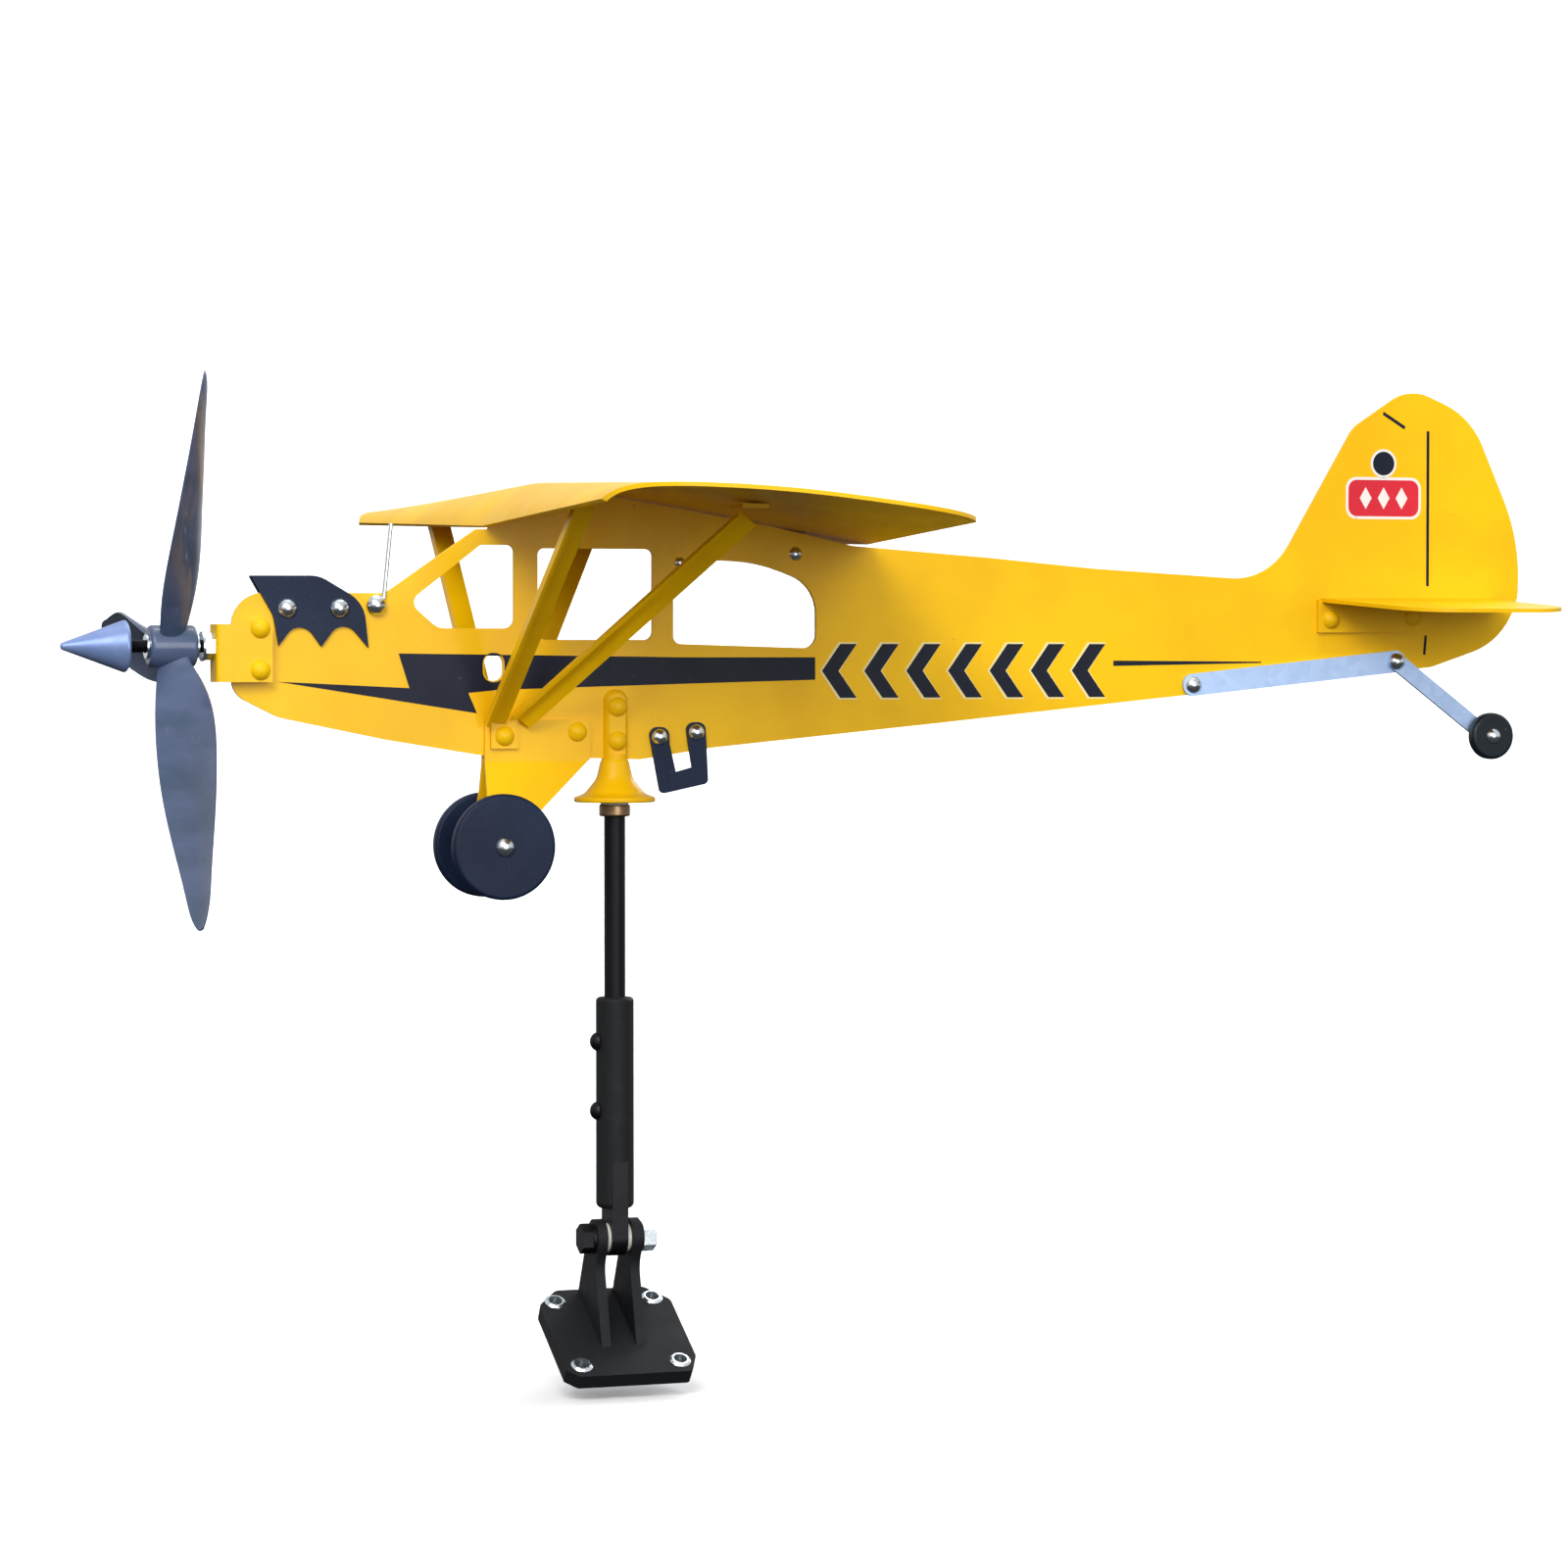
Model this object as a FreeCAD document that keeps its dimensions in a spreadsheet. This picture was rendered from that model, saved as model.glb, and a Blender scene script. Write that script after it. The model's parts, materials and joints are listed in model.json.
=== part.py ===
"""Aeroplane wind spinner on a roof mount.

A sheet-metal high-wing aeroplane turns on a rod like a weathervane, and its propeller spins in
the wind.  The rod slides in a socket, which tilts on a hinge bolt between two ears of a base plate.

Frame: millimetres, +Z up, -X towards the nose, the rod's axis is X = 0, Y = 0, and the origin is
the centre of the base plate's underside.
"""
import FreeCAD, Part
import Sketcher
import math
import os

V = FreeCAD.Vector
doc = FreeCAD.newDocument("Whirligig")
sheet = doc.addObject("Spreadsheet::Sheet", "Sizes")

# Driving dimensions, in millimetres and degrees.
SIZES = {
    "plate_thick": 1.5, "strip_thick": 1.2, "wing_thick": 1.2, "trim_thick": 1.0,
    "half_span": 148, "screw_rad": 1.5, "head_rad": 3.0, "head_high": 2.0, "nut_rad": 3.1, "nut_high": 2.2,
    "base_side": 42, "base_thick": 4.5, "base_cut": 7, "base_tilt": 30, "base_hole_step": 31,
    "eyelet_rad": 2.6, "eyelet_bore": 2.1, "eyelet_flange": 3.3, "eyelet_lip": 0.6,
    "ear_thick": 3, "ear_gap": 8, "ear_rad": 6, "tongue_thick": 5, "hinge_rad": 2.5, "hinge_high": 32,
    "sleeve_rad": 5.75, "sleeve_low": 41, "sleeve_top": 105, "socket_floor": 57, "tongue_top": 55.5,
    "rod_rad": 3.2, "rod_low": 60, "fit_gap": 0.05, "collar_rad": 4.7, "collar_low": 159.7,
    "collar_high": 3.5, "pin_rad": 2.0, "pin_top": 173, "ball_rad": 1.5, "bush_rad": 2.9,
    "bell_low": 164, "bell_rad": 12.3, "neck_rad": 3.9, "neck_top": 177, "cheek_top": 198,
    "shaft_high": 211, "shaft_rad": 2.0, "prop_rad": 91, "prop_mid": -136, "hub_rad": 6.2, "hub_long": 14,
    "prop_bush_rad": 3.2, "cone_rad": 8, "cone_long": 19.5, "cone_base": -149.2,
    "wheel_rad": 15.8, "wheel_thick": 4, "wheel_near": 8, "wheel_at": -38, "wheel_high": 151.3,
    "tail_wheel_rad": 7.5, "tail_wheel_thick": 4, "tail_wheel_at": 295, "tail_wheel_high": 182.2,
}
for row, (alias, number) in enumerate(SIZES.items(), 1):
    sheet.set("A%d" % row, alias)
    sheet.set("B%d" % row, str(number))
    sheet.setAlias("B%d" % row, alias)
doc.recompute()


def size(alias):
    """The present value of a cell."""
    return float(getattr(sheet, alias))


NODES = []


def new_body(label):
    body = doc.addObject("PartDesign::Body", label)
    body.Label = label
    NODES.append(body)
    return body


def new_shape(label, shape):
    feature = doc.addObject("Part::Feature", label)
    feature.Label = label
    feature.Shape = shape
    NODES.append(feature)
    return feature


def sketch_on(body, role, name):
    sketch = body.newObject("Sketcher::SketchObject", name)
    plane = [item for item in body.Origin.OriginFeatures if item.Role == role][0]
    sketch.AttachmentSupport = (plane, "")
    sketch.MapMode = "FlatFace"
    return sketch


def rounded(corners):
    """Curves of a closed outline of (x, y) or (x, y, radius) corners, each radius a tangent arc."""
    flat = [V(c[0], c[1], 0) for c in corners]
    count = len(corners)
    curves = []
    ends = []
    for i, corner in enumerate(corners):
        here = flat[i]
        radius = corner[2] if len(corner) > 2 else 0
        if radius == 0:
            ends.append((here, here))
            continue
        back = (flat[i - 1] - here).normalize()
        ahead = (flat[(i + 1) % count] - here).normalize()
        half = back.getAngle(ahead) / 2
        reach = radius / math.tan(half)
        first = here + back * reach
        last = here + ahead * reach
        middle = here + (back + ahead).normalize() * (radius / math.sin(half) - radius)
        curves.append(Part.Arc(first, middle, last))
        ends.append((first, last))
    for i in range(count):
        start = ends[i][1]
        stop = ends[(i + 1) % count][0]
        if (stop - start).Length > 1e-6:
            curves.append(Part.LineSegment(start, stop))
    return curves


def draw(sketch, corners):
    for curve in rounded(corners):
        sketch.addGeometry(curve)


def ring(sketch, x, y, alias_or_radius):
    """A circle; its radius is bound to a cell when an alias is given."""
    bound = isinstance(alias_or_radius, str)
    radius = size(alias_or_radius.split(" ")[0]) if bound else alias_or_radius
    index = sketch.addGeometry(Part.Circle(V(x, y, 0), V(0, 0, 1), radius))
    if bound:
        tag = "ring%d" % index
        name = sketch.addConstraint(Sketcher.Constraint("Radius", index, radius))
        sketch.renameConstraint(name, tag)
        sketch.setExpression("Constraints." + tag, "Sizes." + alias_or_radius)


def pad(body, sketch, length, midplane=False, reverse=False):
    feature = body.newObject("PartDesign::Pad", sketch.Name + "Pad")
    feature.Profile = sketch
    feature.setExpression("Length", length)
    if midplane:
        feature.SideType = "Symmetric"
    feature.Reversed = reverse
    return feature


def plate(label, outline, thick, outer, holes=(), openings=()):
    """A flat sheet piece in the XZ plane, from Y = outer back by its thickness.

    The outline, openings and holes are in X and Z."""
    body = new_body(label)
    sketch = sketch_on(body, "XZ_Plane", label + "Outline")
    draw(sketch, outline)
    for opening in openings:
        draw(sketch, opening)
    for x, z, radius in holes:
        ring(sketch, x, z, radius)
    pad(body, sketch, "Sizes." + thick)
    body.Placement = FreeCAD.Placement(V(0, outer, 0), FreeCAD.Rotation())
    return body


def turned(label, profile, base=(0, 0, 0), direction=(0, 0, 1)):
    """A solid of revolution: (radius, height) corners turned about its own Z, then aimed."""
    body = new_body(label)
    sketch = sketch_on(body, "XZ_Plane", label + "Profile")
    draw(sketch, profile)
    feature = body.newObject("PartDesign::Revolution", label + "Turn")
    feature.Profile = sketch
    feature.ReferenceAxis = (sketch, ["V_Axis"])
    feature.Angle = 360
    body.Placement = FreeCAD.Placement(V(*base), FreeCAD.Rotation(V(0, 0, 1), V(*direction)))
    return body


def bar(label, alias, base, length, direction=(0, 0, 1), bore=None):
    """A round bar or tube whose radius is a cell; length is an expression."""
    body = new_body(label)
    sketch = sketch_on(body, "XY_Plane", label + "Circle")
    ring(sketch, 0, 0, alias)
    if bore:
        ring(sketch, 0, 0, bore)
    pad(body, sketch, length)
    body.Placement = FreeCAD.Placement(V(*base), FreeCAD.Rotation(V(0, 0, 1), V(*direction)))
    return body


def dome_screw(at, direction, reach, head=None, high=None, shank=None):
    """A dome-headed screw: `at` is under the head, direction points out of the head."""
    head = head or size("head_rad")
    high = high or size("head_high")
    shank = shank or size("screw_rad")
    rise = (head * head + high * high) / (2 * high)
    ball = Part.makeSphere(rise, V(0, 0, high - rise))
    cap = ball.common(Part.makeCylinder(head, high, V(0, 0, 0)))
    body = cap.fuse(Part.makeCylinder(shank, reach, V(0, 0, -reach))).removeSplitter()
    body.Placement = FreeCAD.Placement(V(*at), FreeCAD.Rotation(V(0, 0, 1), V(*direction)))
    return body


def hex_nut(at, direction, radius=None, high=None, bore=None):
    """A plain hexagon nut, with its underside at `at`; the radius is across its flats, halved."""
    radius = radius or size("nut_rad")
    high = high or size("nut_high")
    bore = bore or size("screw_rad")
    corner = radius / math.cos(math.pi / 6)
    points = [V(corner * math.cos(k * math.pi / 3), corner * math.sin(k * math.pi / 3), 0) for k in range(6)]
    face = Part.Face(Part.makePolygon(points + points[:1]))
    nut = face.extrude(V(0, 0, high)).cut(Part.makeCylinder(bore, high))
    nut.Placement = FreeCAD.Placement(V(*at), FreeCAD.Rotation(V(0, 0, 1), V(*direction)))
    return nut


def group(label, solids):
    return new_shape(label, Part.makeCompound(solids))


T = size("plate_thick")
HALF = T / 2
STRIP = size("strip_thick")
TRIM = size("trim_thick")
NEAR = (0, -1, 0)
FAR = (0, 1, 0)
SHAFT_Z = size("shaft_high")
SCREW = size("screw_rad")

# ---------------------------------------------------------------- base plate and hinge
TILT = FreeCAD.Rotation(V(1, 0, 0), size("base_tilt"))
DOWN_SLOPE = FreeCAD.Placement(V(0, 0, 0), TILT)
NORMAL = TILT.multVec(V(0, 0, 1))
HINGE = V(0, 0, size("hinge_high"))
HINGE_LOCAL = DOWN_SLOPE.inverse().multVec(HINGE)
EDGE = size("base_side") / 2
CUT = size("base_cut")
STEP = size("base_hole_step") / 2
BASE_T = size("base_thick")

base = new_body("base_plate")
outline = sketch_on(base, "XY_Plane", "BaseOutline")
draw(outline, [(-EDGE + CUT / 2, -EDGE, 1.5), (EDGE - CUT / 2, -EDGE, 1.5), (EDGE, -EDGE + CUT, 3),
               (EDGE, EDGE - CUT, 3), (EDGE - CUT, EDGE, 3), (CUT - EDGE, EDGE, 3), (-EDGE, EDGE - CUT, 3),
               (-EDGE, -EDGE + CUT / 2, 1.5)])
for sx in (-1, 1):
    for sy in (-1, 1):
        ring(outline, sx * STEP, sy * STEP, "eyelet_rad")
pad(base, outline, "Sizes.base_thick")
doc.recompute()
EAR_OUT = size("ear_gap") / 2 + size("ear_thick")
EAR = size("ear_rad")
EAR_CORNER = EAR - 0.1
EAR_BACK = HINGE_LOCAL.y - EAR
EAR_TOP = HINGE_LOCAL.z + EAR
ear_profile = [(-8, BASE_T - 0.5), (EDGE - 1, BASE_T - 0.5), (HINGE_LOCAL.y + EAR, EAR_TOP, EAR_CORNER),
               (EAR_BACK, EAR_TOP, EAR_CORNER), (EAR_BACK, HINGE_LOCAL.z - EAR, 8)]
for side, start in (("Left", -EAR_OUT), ("Right", size("ear_gap") / 2)):
    ear = sketch_on(base, "YZ_Plane", "Ear" + side)
    ear.AttachmentOffset = FreeCAD.Placement(V(0, 0, start), FreeCAD.Rotation())
    draw(ear, ear_profile)
    ring(ear, HINGE_LOCAL.y, HINGE_LOCAL.z, "hinge_rad")
    pad(base, ear, "Sizes.ear_thick")
base.Placement = DOWN_SLOPE

EYELET = size("eyelet_rad")
LIP = size("eyelet_lip")
eyelets = []
for sx in (-1, 1):
    for sy in (-1, 1):
        foot = DOWN_SLOPE.multVec(V(sx * STEP, sy * STEP, 0))
        tube = Part.makeCylinder(EYELET, BASE_T, foot, NORMAL)
        flange = Part.makeCone(size("eyelet_flange"), EYELET, LIP, foot + NORMAL * BASE_T, NORMAL)
        bore = Part.makeCylinder(size("eyelet_bore"), BASE_T + LIP, foot, NORMAL)
        eyelets.append(tube.fuse(flange).removeSplitter().cut(bore))
group("base_eyelets", eyelets)

BOLT = size("hinge_rad")
bolt = turned("hinge_bolt", [(0, 0), (BOLT, 0), (BOLT, 2 * EAR_OUT + 6.2), (0, 2 * EAR_OUT + 6.2)],
              HINGE + V(-EAR_OUT - 1, 0, 0), (1, 0, 0))
hexagon = sketch_on(bolt, "XY_Plane", "BoltHead")
draw(hexagon, [(4.6 * math.cos(k * math.pi / 3), 4.6 * math.sin(k * math.pi / 3)) for k in range(6)])
head_pad = bolt.newObject("PartDesign::Pad", "BoltHeadPad")
head_pad.Profile = hexagon
head_pad.Length = 3.2
head_pad.Reversed = True
hinge_rings = [Part.makeCylinder(4.6, 1, HINGE + V(x, 0, 0), V(1, 0, 0)).cut(
    Part.makeCylinder(BOLT, 1, HINGE + V(x, 0, 0), V(1, 0, 0))) for x in (-EAR_OUT - 1, EAR_OUT)]
group("hinge_washers", hinge_rings)
group("hinge_nut", [hex_nut(HINGE + V(EAR_OUT + 1, 0, 0), (1, 0, 0), 4, 4, BOLT)])

# ---------------------------------------------------------------- socket, tongue and rod
TONGUE = size("tongue_thick")
WASHER = (size("ear_gap") - TONGUE) / 2 - 0.05
tongue = new_body("hinge_tongue")
blade = sketch_on(tongue, "YZ_Plane", "TongueBlade")
draw(blade, [(-5.5, size("hinge_high") - 5.5, 5.4), (5.5, size("hinge_high") - 5.5, 5.4),
             (5.5, size("tongue_top")), (-5.5, size("tongue_top"))])
ring(blade, 0, size("hinge_high"), "hinge_rad + Sizes.fit_gap")
pad(tongue, blade, "Sizes.tongue_thick", midplane=True)
rings = []
for x in (-TONGUE / 2 - WASHER, TONGUE / 2):
    disc = Part.makeCylinder(4.4, WASHER, HINGE + V(x, 0, 0), V(1, 0, 0))
    rings.append(disc.cut(Part.makeCylinder(BOLT + 0.05, WASHER, HINGE + V(x, 0, 0), V(1, 0, 0))))
group("friction_washers", rings)

SLEEVE_LOW = size("sleeve_low")
SLEEVE_TOP = size("sleeve_top")
sleeve = new_body("rod_socket")
sleeve_ring = sketch_on(sleeve, "XZ_Plane", "SocketProfile")
BORE = size("rod_rad") + size("fit_gap")
OUT = size("sleeve_rad")
draw(sleeve_ring, [(0, SLEEVE_LOW), (OUT, SLEEVE_LOW, 1.8), (OUT, SLEEVE_TOP, 1.2), (BORE, SLEEVE_TOP, 0.4),
                   (BORE, size("socket_floor")), (0, size("socket_floor"))])
turn = sleeve.newObject("PartDesign::Revolution", "SocketTurn")
turn.Profile = sleeve_ring
turn.ReferenceAxis = (sleeve_ring, ["V_Axis"])
turn.Angle = 360
doc.recompute()
slot = sketch_on(sleeve, "YZ_Plane", "TongueSlot")
draw(slot, [(-7, SLEEVE_LOW - 1), (7, SLEEVE_LOW - 1), (7, size("tongue_top")), (-7, size("tongue_top"))])
slot_cut = sleeve.newObject("PartDesign::Pocket", "TongueSlotCut")
slot_cut.Profile = slot
slot_cut.SideType = "Symmetric"
slot_cut.setExpression("Length", "Sizes.tongue_thick")
doc.recompute()
holes = sketch_on(sleeve, "YZ_Plane", "SetScrewHoles")
SET_HIGH = (70.6, 91.6)
for z in SET_HIGH:
    ring(holes, 0, z, "screw_rad")
hole_cut = sleeve.newObject("PartDesign::Pocket", "SetScrewHolesCut")
hole_cut.Profile = holes
hole_cut.Length = 10
hole_cut.Reversed = False
doc.recompute()
set_screws = []
for z in SET_HIGH:
    set_screws.append(dome_screw((-OUT, 0, z), (-1, 0, 0), OUT - BORE, 2.9, 2.1))
group("socket_set_screws", set_screws)

ROD = size("rod_rad")
COLLAR_LOW = size("collar_low")
COLLAR_TOP = COLLAR_LOW + size("collar_high")
PIN = size("pin_rad")
ROD_LOW = size("rod_low")
turned("support_rod", [(0, ROD_LOW), (ROD, ROD_LOW, 0.6), (ROD, COLLAR_TOP), (PIN, COLLAR_TOP),
                       (PIN, size("pin_top"), 0.4), (0, size("pin_top"))])
turned("rod_collar", [(ROD, COLLAR_LOW), (size("collar_rad"), COLLAR_LOW, 0.6),
                      (size("collar_rad"), COLLAR_TOP, 0.4), (ROD, COLLAR_TOP)])
WASHER_RAD = 4.2
WASHER_TOP = COLLAR_TOP + 0.6
turned("thrust_washer", [(PIN, COLLAR_TOP), (WASHER_RAD, COLLAR_TOP), (WASHER_RAD, WASHER_TOP), (PIN, WASHER_TOP)])

# ---------------------------------------------------------------- swivel housing and its bearing
BELL_LOW = size("bell_low")
NECK = size("neck_rad")
BUSH = size("bush_rad")
NECK_TOP = size("neck_top")
BALL = size("ball_rad")
bore_top = size("pin_top") + 2 * BALL
housing = new_body("swivel_housing")
bell = sketch_on(housing, "XZ_Plane", "BellProfile")
draw(bell, [(BUSH, BELL_LOW), (size("bell_rad"), BELL_LOW, 0.5), (size("bell_rad"), BELL_LOW + 1.4, 0.5),
            (9.2, BELL_LOW + 2.6, 4), (5.6, BELL_LOW + 7.0, 6), (NECK + 0.5, NECK_TOP - 1, 1), (NECK, NECK_TOP),
            (NECK, size("cheek_top"), 3.4), (0, size("cheek_top")), (0, bore_top), (BUSH, bore_top)])
bell_turn = housing.newObject("PartDesign::Revolution", "BellTurn")
bell_turn.Profile = bell
bell_turn.ReferenceAxis = (bell, ["V_Axis"])
bell_turn.Angle = 360
doc.recompute()
fork = sketch_on(housing, "YZ_Plane", "ForkSlot")
FORK_TOP = size("cheek_top") + 1
draw(fork, [(-HALF, NECK_TOP), (HALF, NECK_TOP), (HALF, FORK_TOP), (-HALF, FORK_TOP)])
fork_cut = housing.newObject("PartDesign::Pocket", "ForkSlotCut")
fork_cut.Profile = fork
fork_cut.SideType = "Symmetric"
fork_cut.Length = 12
doc.recompute()
HOUSING_SCREWS = (182.5, 192.8)
FLAT_LOW = NECK_TOP + 1.5
flats = sketch_on(housing, "XZ_Plane", "CheekFlats")
flats.AttachmentOffset = FreeCAD.Placement(V(0, 0, 3.0), FreeCAD.Rotation())
draw(flats, [(-5, FLAT_LOW), (5, FLAT_LOW), (5, size("cheek_top") + 1), (-5, size("cheek_top") + 1)])
flats_cut = housing.newObject("PartDesign::Pocket", "CheekFlatNear")
flats_cut.Profile = flats
flats_cut.Length = 5
flats_cut.Reversed = True
doc.recompute()
back = sketch_on(housing, "XZ_Plane", "CheekFlatsFar")
back.AttachmentOffset = FreeCAD.Placement(V(0, 0, -3.0), FreeCAD.Rotation())
draw(back, [(-5, FLAT_LOW), (5, FLAT_LOW), (5, size("cheek_top") + 1), (-5, size("cheek_top") + 1)])
back_cut = housing.newObject("PartDesign::Pocket", "CheekFlatFar")
back_cut.Profile = back
back_cut.Length = 5
doc.recompute()
crossing = sketch_on(housing, "XZ_Plane", "HousingHoles")
for z in HOUSING_SCREWS:
    ring(crossing, 0, z, "screw_rad")
crossing_cut = housing.newObject("PartDesign::Pocket", "HousingHolesCut")
crossing_cut.Profile = crossing
crossing_cut.SideType = "Symmetric"
crossing_cut.Length = 12
doc.recompute()
turned("swivel_bush", [(PIN + 0.05, BELL_LOW + 0.4), (BUSH, BELL_LOW + 0.4), (BUSH, size("pin_top") - 1),
                       (PIN + 0.05, size("pin_top") - 1)])
new_shape("thrust_ball", Part.makeSphere(BALL, V(0, 0, bore_top - BALL)))

# ---------------------------------------------------------------- wing
ROOT_TOP = [(-41.5, 247), (-38.8, 252.3), (-33.5, 257.2), (-26, 259.8), (-8, 258.8), (20, 254.4), (50, 249.2),
            (82, 243.5)]
TIP_TOP = [(-46, 251.8), (-44, 253.6), (-40, 254.8), (-32, 255.4), (-14, 255.2), (8, 253.9), (32, 251.3),
           (63, 247.5)]


def offset_below(points, distance):
    """The same profile moved square to itself, towards its underside."""
    moved = []
    for i, (x, z) in enumerate(points):
        ahead = points[min(i + 1, len(points) - 1)]
        back = points[max(i - 1, 0)]
        along = V(ahead[0] - back[0], 0, ahead[1] - back[1]).normalize()
        moved.append((x + along.z * distance, z - along.x * distance))
    return moved


def wing_section(points, y):
    """A closed wire of the bent sheet's section at one place along the span."""
    top = Part.BSplineCurve()
    top.interpolate([V(x, y, z) for x, z in points])
    low = Part.BSplineCurve()
    low.interpolate([V(x, y, z) for x, z in offset_below(points, size("wing_thick"))])
    front = Part.LineSegment(low.StartPoint, top.StartPoint)
    rear = Part.LineSegment(top.EndPoint, low.EndPoint)
    return Part.Wire([front.toShape(), top.toShape(), rear.toShape(), low.toShape()])


SPAN = size("half_span")
halves = []
for side in (-1, 1):
    halves.append(Part.makeLoft([wing_section(ROOT_TOP, 0), wing_section(TIP_TOP, side * SPAN)], True, True))
planform = [(-46.5, -SPAN, 24), (63.5, -SPAN, 30), (82.5, 0), (63.5, SPAN, 30), (-46.5, SPAN, 24), (-42, 0)]
plan_wire = Part.Wire(Part.__sortEdges__([curve.toShape() for curve in rounded(planform)]))
plan_block = Part.Face(plan_wire).extrude(V(0, 0, 60))
plan_block.translate(V(0, 0, 220))
new_shape("wing_panel", halves[0].fuse(halves[1]).common(plan_block).removeSplitter())


def underside(x, y):
    """Height of the wing's underside at a place on it."""
    share = abs(y) / SPAN
    heights = []
    for points in (ROOT_TOP, TIP_TOP):
        for (x0, z0), (x1, z1) in zip(points, points[1:]):
            if x0 <= x <= x1:
                heights.append(z0 + (z1 - z0) * (x - x0) / (x1 - x0))
    return heights[0] * (1 - share) + heights[1] * share - size("wing_thick") * 1.03


# ---------------------------------------------------------------- fuselage plate
under_wing = [(x, z) for x, z in offset_below(ROOT_TOP, size("wing_thick") + 0.3)][1:-1]
BRACKET_SCREWS = [(-110.5, 216.3), (-110.5, 204.0)]
ENGINE_SCREWS = [(-101.6, 222.2), (-85.8, 222.2)]
GAUGE_SCREW = (-74.5, 223.2)
CABIN_SCREW = (20.6, 236.4)
GEAR_SCREWS = [(-35.5, 184.2), (-12.4, 185.3)]
STEP_SCREWS = [(13.8, 183.6), (25.6, 184.9)]
STRIP_SCREWS = [(191.4, 198.9), (262.5, 206.2)]
STAB_SCREWS = [(239.5, 219.6), (268.6, 220.6)]
WING_BRACKETS = [-12.0, 58.0]
wing_bracket_screws = [(x, underside(x, 0) - 7.2) for x in WING_BRACKETS]
all_screws = (BRACKET_SCREWS + ENGINE_SCREWS + [GAUGE_SCREW, CABIN_SCREW] + GEAR_SCREWS + STEP_SCREWS
              + STRIP_SCREWS + STAB_SCREWS + wing_bracket_screws + [(0, z) for z in HOUSING_SCREWS])
fuselage_outline = (
    [(-118.2, 226.8, 10), (-71.5, 226.8, 6), (-43.6, 246.0), (-39.9, 246.0)] + under_wing
    + [(76.5, 241.9), (121.6, 238.6), (157.4, 235.4), (206, 232.6, 8), (219, 232.6, 22), (248, 281, 12),
       (268, 294, 14), (290, 285, 26), (309, 243, 60), (305.6, 214, 24), (276, 204.4, 8),
       (184.5, 195.2), (104.2, 187.2), (31, 180.2), (8, 176.8, 12), (-41.9, 178.4, 20), (-71.6, 183.3), (-104, 190, 12),
       (-118.2, 197, 7)])
cabin_windows = [
    [(-64.5, 224.2, 3), (-42.2, 241.3, 2), (-31.8, 241.3, 2), (-31.8, 216.4, 3), (-55.5, 216.4, 6)],
    [(-24.4, 240.4, 2), (11.9, 240.4, 2), (11.9, 213, 2.5), (-24.4, 213, 2.5)],
    [(18.5, 229, 3), (30, 237.2, 4), (46, 236.6, 50), (64.7, 229.5, 12), (64.7, 210.4, 4), (18.5, 211.8, 2.5)],
    [(-41.2, 200.7, 2.9), (-41.2, 208.7, 2.9), (-35.2, 208.7, 2.9), (-35.2, 200.7, 2.9)],
]
plate("fuselage_plate", fuselage_outline, "plate_thick", HALF,
      [(x, z, "screw_rad") for x, z in all_screws], cabin_windows)

# ---------------------------------------------------------------- wing brackets, struts
bracket_pieces = []
bracket_fixings = []
for x, (hole_x, hole_z) in zip(WING_BRACKETS, wing_bracket_screws):
    roof = min(underside(x - 4, 0), underside(x + 4, 0), underside(x + 4, 9)) - 0.4
    wall = Part.makeBox(9, STRIP, 11, V(x - 4.5, HALF, roof - 11))
    flange = Part.makeBox(9, 9, STRIP, V(x - 4.5, HALF, roof - STRIP))
    hole = Part.makeCylinder(SCREW, 10, V(hole_x, HALF - 1, hole_z), V(0, 1, 0))
    bracket_pieces.append(wall.fuse(flange).cut(hole).removeSplitter())
    bracket_fixings.append(dome_screw((hole_x, -HALF, hole_z), NEAR, T + STRIP + 2.6, 2.2, 1.3))
    bracket_fixings.append(hex_nut((hole_x, HALF + STRIP, hole_z), FAR))
group("wing_brackets", bracket_pieces)
group("wing_bracket_screws", bracket_fixings)

STRUT_SPAN = 75
STRUT_WIDE = 6.4
STRUT_TOPS = {"front": -33.5, "rear": 16.0}
STRUT_FEET = {"front": -3.0, "rear": 5.4}
foot_x, foot_z = GEAR_SCREWS[0]
for side, name in ((-1, "left"), (1, "right")):
    for part, top_x in STRUT_TOPS.items():
        low = V(foot_x + STRUT_FEET[part], side * (HALF + STRIP + 1.6), foot_z + 4.8)
        top = V(top_x, side * STRUT_SPAN, underside(top_x, STRUT_SPAN) - 4.8)
        along = top - low
        strut = new_body("strut_%s_%s" % (part, name))
        section = sketch_on(strut, "XY_Plane", "Section_%s_%s" % (part, name))
        leg = 3.0
        thin = 1.0
        draw(section, [(-STRUT_WIDE / 2, 0), (STRUT_WIDE / 2, 0), (STRUT_WIDE / 2, side * thin),
                       (-STRUT_WIDE / 2 + thin, side * thin), (-STRUT_WIDE / 2 + thin, side * leg),
                       (-STRUT_WIDE / 2, side * leg)])
        beam = strut.newObject("PartDesign::Pad", "Beam_%s_%s" % (part, name))
        beam.Profile = section
        beam.Length = along.Length
        across = V(0, 1, 0).cross(along).normalize()
        strut.Placement = FreeCAD.Placement(low, FreeCAD.Rotation(across, along.cross(across), along, "ZXY"))

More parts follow.
